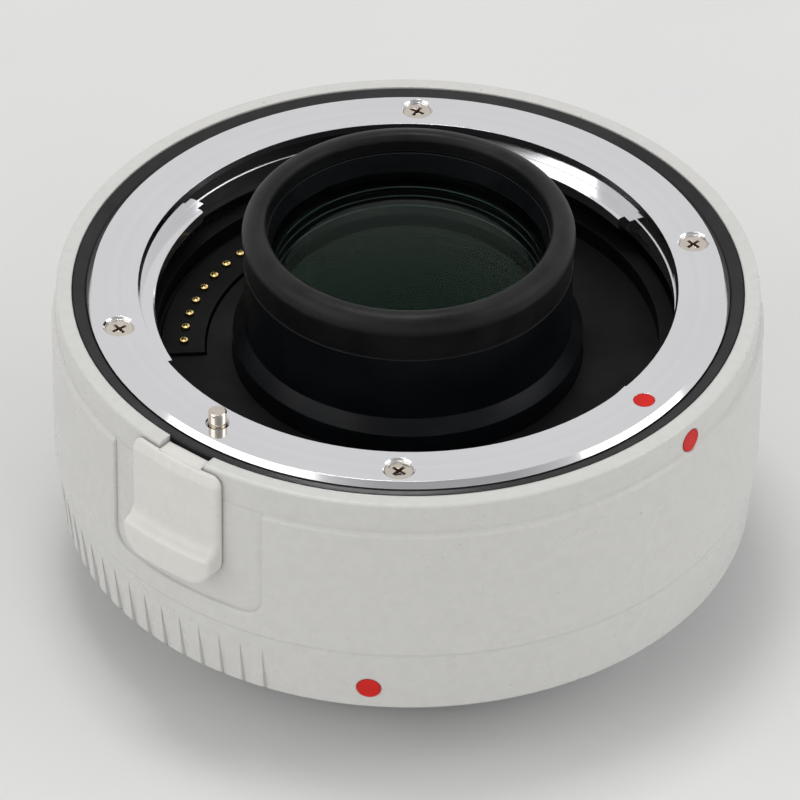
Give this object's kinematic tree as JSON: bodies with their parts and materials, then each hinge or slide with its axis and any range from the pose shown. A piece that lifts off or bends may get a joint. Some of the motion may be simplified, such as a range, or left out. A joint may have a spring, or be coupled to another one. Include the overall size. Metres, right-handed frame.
{
  "type": "camera teleconverter",
  "caption": "White barrelled teleconverter with a bayonet on each side, a spring-loaded release lever, sprung gold contacts and a raised optical nose with a rubber bumper.",
  "frame": {"origin": "on the optical axis, on the flange face that meets the camera", "axes": "+Z along the optical axis towards the lens; -Y midway between the lens index mark and the release lever; +X to the right when the lens side is up and -Y faces the viewer"},
  "size_m": [0.072, 0.072, 0.0429],
  "materials": {
    "white_paint": "satin, very fine grain",
    "lever_white": "satin gloss",
    "black_trim": "matt",
    "mount_chrome": "satin plate with polished bevels",
    "screw_nickel": "polished nickel plate",
    "spring_steel": "drawn",
    "chassis_alloy": "as machined",
    "black_alloy": "black anodised",
    "black_plastic": "matt",
    "bumper_rubber": "matt",
    "optical_glass": "coated, polished",
    "contact_gold": "gold plated",
    "red_enamel": "gloss",
    "board_green": "solder resist",
    "flex_amber": "satin film"
  },
  "bodies": {
    "housing": {"outer_barrel": "white_paint", "trim_ring": "black_trim", "index_marks": "red_enamel", "chassis": "chassis_alloy", "front_mount": "mount_chrome", "front_mount_screws": "screw_nickel", "bayonet_springs": "spring_steel", "bayonet_spring_rivets": "spring_steel", "release_guide_posts": "spring_steel", "release_springs": "spring_steel", "front_baffle": "black_plastic", "front_contact_block": "black_plastic", "circuit_board": "board_green", "circuit_chips": "black_plastic", "flex_cable": "flex_amber", "front_cell": "black_alloy", "bumper_ring": "bumper_rubber", "front_retaining_ring": "black_alloy", "front_element": "optical_glass", "front_spacer": "black_alloy", "middle_front_element": "optical_glass", "middle_rear_element": "optical_glass", "rear_cell": "black_alloy", "rear_group_element": "optical_glass", "rear_spacer": "black_alloy", "rear_element": "optical_glass", "rear_retaining_ring": "black_alloy", "rear_mount": "mount_chrome", "rear_mount_screws": "screw_nickel", "mount_gasket": "bumper_rubber", "rear_contact_block": "black_plastic", "rear_contact_pads": "contact_gold", "rear_block_screws": "spring_steel", "rear_baffle": "black_plastic", "rear_baffle_screws": "spring_steel", "contact_spring_1": "spring_steel", "contact_spring_2": "spring_steel", "contact_spring_3": "spring_steel", "contact_spring_4": "spring_steel", "contact_spring_5": "spring_steel", "contact_spring_6": "spring_steel", "contact_spring_7": "spring_steel", "contact_spring_8": "spring_steel"},
    "release": {"release_lever": "lever_white", "release_bracket": "spring_steel", "release_bracket_screws": "spring_steel", "lock_pin": "screw_nickel"},
    "contact_pin_1": {"contact_pin_1": "contact_gold"},
    "contact_pin_2": {"contact_pin_2": "contact_gold"},
    "contact_pin_3": {"contact_pin_3": "contact_gold"},
    "contact_pin_4": {"contact_pin_4": "contact_gold"},
    "contact_pin_5": {"contact_pin_5": "contact_gold"},
    "contact_pin_6": {"contact_pin_6": "contact_gold"},
    "contact_pin_7": {"contact_pin_7": "contact_gold"},
    "contact_pin_8": {"contact_pin_8": "contact_gold"}
  },
  "joints": [
    {"name": "release_slide", "type": "slide", "parent": "housing", "child": "release", "axis": [0, 0, -1], "range_m": [0, 0.0019], "stiffness_N_per_m": 400, "springref_m": -0.004, "deforming": ["release_springs"]},
    {"name": "contact_pin_1_slide", "type": "slide", "parent": "housing", "child": "contact_pin_1", "axis": [0, 0, -1], "range_m": [0, 0.00065], "stiffness_N_per_m": 200, "springref_m": -0.001, "deforming": ["contact_spring_1"]},
    {"name": "contact_pin_2_slide", "type": "slide", "parent": "housing", "child": "contact_pin_2", "axis": [0, 0, -1], "range_m": [0, 0.00065], "stiffness_N_per_m": 200, "springref_m": -0.001, "deforming": ["contact_spring_2"]},
    {"name": "contact_pin_3_slide", "type": "slide", "parent": "housing", "child": "contact_pin_3", "axis": [0, 0, -1], "range_m": [0, 0.00065], "stiffness_N_per_m": 200, "springref_m": -0.001, "deforming": ["contact_spring_3"]},
    {"name": "contact_pin_4_slide", "type": "slide", "parent": "housing", "child": "contact_pin_4", "axis": [0, 0, -1], "range_m": [0, 0.00065], "stiffness_N_per_m": 200, "springref_m": -0.001, "deforming": ["contact_spring_4"]},
    {"name": "contact_pin_5_slide", "type": "slide", "parent": "housing", "child": "contact_pin_5", "axis": [0, 0, -1], "range_m": [0, 0.00065], "stiffness_N_per_m": 200, "springref_m": -0.001, "deforming": ["contact_spring_5"]},
    {"name": "contact_pin_6_slide", "type": "slide", "parent": "housing", "child": "contact_pin_6", "axis": [0, 0, -1], "range_m": [0, 0.00065], "stiffness_N_per_m": 200, "springref_m": -0.001, "deforming": ["contact_spring_6"]},
    {"name": "contact_pin_7_slide", "type": "slide", "parent": "housing", "child": "contact_pin_7", "axis": [0, 0, -1], "range_m": [0, 0.00065], "stiffness_N_per_m": 200, "springref_m": -0.001, "deforming": ["contact_spring_7"]},
    {"name": "contact_pin_8_slide", "type": "slide", "parent": "housing", "child": "contact_pin_8", "axis": [0, 0, -1], "range_m": [0, 0.00065], "stiffness_N_per_m": 200, "springref_m": -0.001, "deforming": ["contact_spring_8"]}
  ]
}
